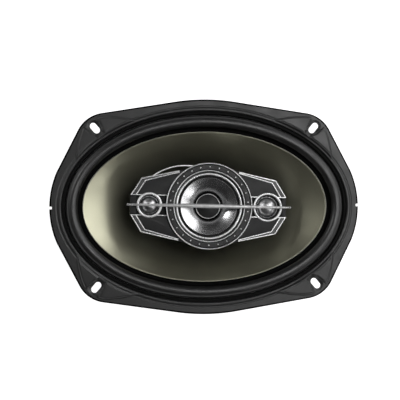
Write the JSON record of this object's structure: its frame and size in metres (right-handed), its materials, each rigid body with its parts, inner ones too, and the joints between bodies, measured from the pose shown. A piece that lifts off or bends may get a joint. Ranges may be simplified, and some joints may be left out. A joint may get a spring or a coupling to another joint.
{
  "type": "coaxial car speaker",
  "caption": "Oval coaxial car speaker with a pressed-steel basket, oval cone, raised pod with a midrange and two tweeters, and a ring-magnet motor.",
  "frame": {"origin": "centre of the mounting plane, which is the back of the basket's flange, on the speaker's axis", "axes": "+Z out of the front of the speaker, +X along the oval's long side, -Y towards the terminals"},
  "size_m": [0.237, 0.164, 0.1052],
  "materials": {
    "basket_black": "satin black coating on pressed steel",
    "gasket_black": "matt black gasket ring",
    "surround_rubber": "satin butyl rubber",
    "cone_metallic": "champagne metallic coating on moulded polypropylene",
    "spider_cloth": "resin-stiffened woven cotton",
    "former_aluminium": "thin aluminium foil",
    "copper_wire": "enamelled copper winding",
    "brass_fittings": "bright brass",
    "felt_black": "black felt",
    "zinc_steel": "zinc-plated steel",
    "ferrite": "ground dark grey ferrite",
    "panel_board": "dark phenolic board",
    "terminal_tin": "tin-plated brass",
    "tinsel_braid": "braided tinsel lead",
    "pod_plastic": "matt dark grey ABS",
    "black_screw": "black zinc screw",
    "satin_chrome": "satin chrome plating",
    "bezel_dark": "dark speckled gloss",
    "mid_cloth": "doped black cloth",
    "mid_metal": "polished aluminium",
    "mid_cap_dark": "dark grey coated cap",
    "magnet_nickel": "nickel-plated magnet",
    "capacitor_sleeve": "blue-black shrink sleeve",
    "dome_metal": "grey metallised film dome",
    "black_yoke": "black plated steel cup"
  },
  "bodies": {
    "frame": {"arch_trim": "satin_chrome", "back_plate": "zinc_steel", "basket": "basket_black", "basket_rivets": "zinc_steel", "bezel_studs": "satin_chrome", "cross_bar": "satin_chrome", "crossover_capacitors": "capacitor_sleeve", "dust_seal": "felt_black", "gasket_ring": "gasket_black", "magnet": "ferrite", "mid_bezel": "bezel_dark", "mid_bezel_trims": "satin_chrome", "mid_frame": "basket_black", "mid_lip_ring": "satin_chrome", "mid_magnet": "magnet_nickel", "mid_surround": "mid_cloth", "mid_top_plate": "zinc_steel", "mid_yoke": "zinc_steel", "pod_back_cover": "pod_plastic", "pod_bolt": "zinc_steel", "pod_feed_leads": "tinsel_braid", "pod_housing": "pod_plastic", "pod_post": "zinc_steel", "pod_screws": "black_screw", "spider": "spider_cloth", "surround": "surround_rubber", "terminal_negative": "terminal_tin", "terminal_panel": "panel_board", "terminal_positive": "terminal_tin", "terminal_rivets": "brass_fittings", "tinsel_leads": "tinsel_braid", "top_plate": "zinc_steel", "tweeter_left_magnet": "magnet_nickel", "tweeter_left_ring": "satin_chrome", "tweeter_left_top_plate": "zinc_steel", "tweeter_left_yoke": "black_yoke", "tweeter_right_magnet": "magnet_nickel", "tweeter_right_ring": "satin_chrome", "tweeter_right_top_plate": "zinc_steel", "tweeter_right_yoke": "black_yoke", "wing_trim_left": "satin_chrome", "wing_trim_right": "satin_chrome"},
    "woofer": {"woofer_cone": "cone_metallic", "voice_coil_former": "former_aluminium", "voice_coil_winding": "copper_wire", "lead_eyelets": "brass_fittings"},
    "midrange": {"mid_cone": "mid_metal", "mid_dust_cap": "mid_cap_dark", "mid_voice_coil": "copper_wire"},
    "tweeter_left": {"tweeter_left_dome": "dome_metal", "tweeter_left_coil": "copper_wire"},
    "tweeter_right": {"tweeter_right_dome": "dome_metal", "tweeter_right_coil": "copper_wire"}
  },
  "joints": [
    {"name": "woofer_travel", "type": "slide", "parent": "frame", "child": "woofer", "axis": [0, 0, 1], "range_m": [-0.004, 0.004], "stiffness_N_per_m": 2500, "deforming": ["surround", "spider", "tinsel_leads", "pod_feed_leads"]},
    {"name": "midrange_travel", "type": "slide", "parent": "frame", "child": "midrange", "axis": [0, 0, 1], "range_m": [-0.0006, 0.0006], "stiffness_N_per_m": 3000, "deforming": ["mid_surround"]},
    {"name": "tweeter_left_travel", "type": "slide", "parent": "frame", "child": "tweeter_left", "axis": [0, 0, 1], "range_m": [-0.0002, 0.0002], "stiffness_N_per_m": 4000},
    {"name": "tweeter_right_travel", "type": "slide", "parent": "frame", "child": "tweeter_right", "axis": [0, 0, 1], "range_m": [-0.0002, 0.0002], "stiffness_N_per_m": 4000}
  ]
}
